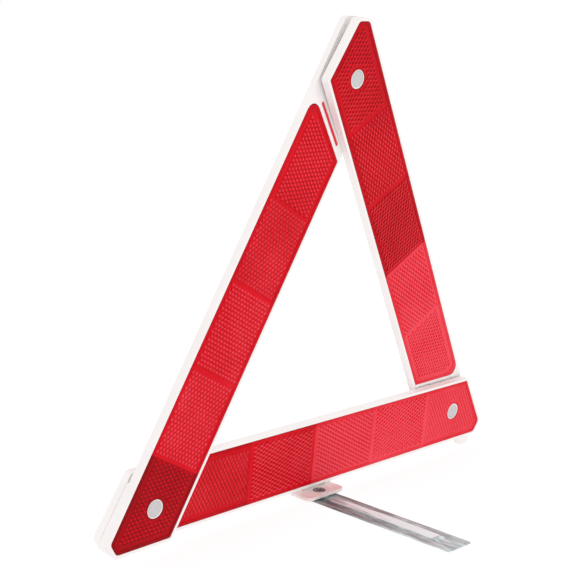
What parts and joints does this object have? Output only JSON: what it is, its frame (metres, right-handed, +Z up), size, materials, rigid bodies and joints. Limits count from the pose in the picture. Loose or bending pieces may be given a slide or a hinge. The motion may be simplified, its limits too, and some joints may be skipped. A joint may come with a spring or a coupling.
{
  "type": "warning triangle",
  "caption": "Folding roadside warning triangle: flat reflector arms hinged at the corners, hooked at the top, on a swivelling steel leg.",
  "frame": {"origin": "on the ground, on the leg's flat underside, 8.5 mm behind its swivel and midway along the bottom arm", "axes": "+Z up; +X to the right along the bottom arm, seen from the front; -Y to the front, where the leg points"},
  "size_m": [0.4154, 0.1614, 0.3668],
  "materials": {
    "white_plastic": "smooth moulded white plastic, slightly warm",
    "red_reflector": "clear glossy red prism reflector",
    "rivet_alloy": "dull satin, faintly mottled",
    "milky_plastic": "milky, slightly see-through plastic",
    "bright_steel": "bright rolled steel",
    "galvanised_steel": "galvanised sheet with long scratches"
  },
  "bodies": {
    "bottom_arm": {"bottom_arm_frame": "white_plastic", "bottom_front_reflector": "red_reflector", "bottom_rear_reflector": "red_reflector", "left_pivot_rivet": "rivet_alloy", "left_pivot_cap": "rivet_alloy", "left_pivot_washer": "white_plastic", "right_pivot_rivet": "rivet_alloy", "right_pivot_cap": "rivet_alloy", "right_pivot_washer": "white_plastic", "leg_bracket": "milky_plastic", "leg_eyelet": "bright_steel", "leg_washer": "white_plastic"},
    "left_arm": {"left_arm_frame": "white_plastic", "left_front_reflector": "red_reflector", "left_rear_reflector": "red_reflector", "latch_cap": "rivet_alloy"},
    "right_arm": {"right_arm_frame": "white_plastic", "right_front_reflector": "red_reflector", "right_rear_reflector": "red_reflector", "latch_stud": "rivet_alloy", "latch_collar": "bright_steel"},
    "leg": {"support_leg": "galvanised_steel"}
  },
  "joints": [
    {"name": "right_arm_fold", "type": "hinge", "parent": "bottom_arm", "child": "right_arm", "pos_m": [0.16737, 0.00239, 0.03478], "axis": [-0.0191, -0.9917, -0.127], "range_deg": [-300, 0]},
    {"name": "left_arm_fold", "type": "hinge", "parent": "bottom_arm", "child": "left_arm", "pos_m": [-0.16737, -0.00617, 0.03397], "axis": [-0.0191, -0.9979, -0.0611], "range_deg": [-60, 0]},
    {"name": "leg_swivel", "type": "hinge", "parent": "bottom_arm", "child": "leg", "pos_m": [0, -0.0085, 0], "axis": [0, 0, 1], "range_deg": [-90, 90]}
  ],
  "couplings": [
    {"joint": "left_arm_fold", "follows": "right_arm_fold", "ratio": 0.2}
  ]
}
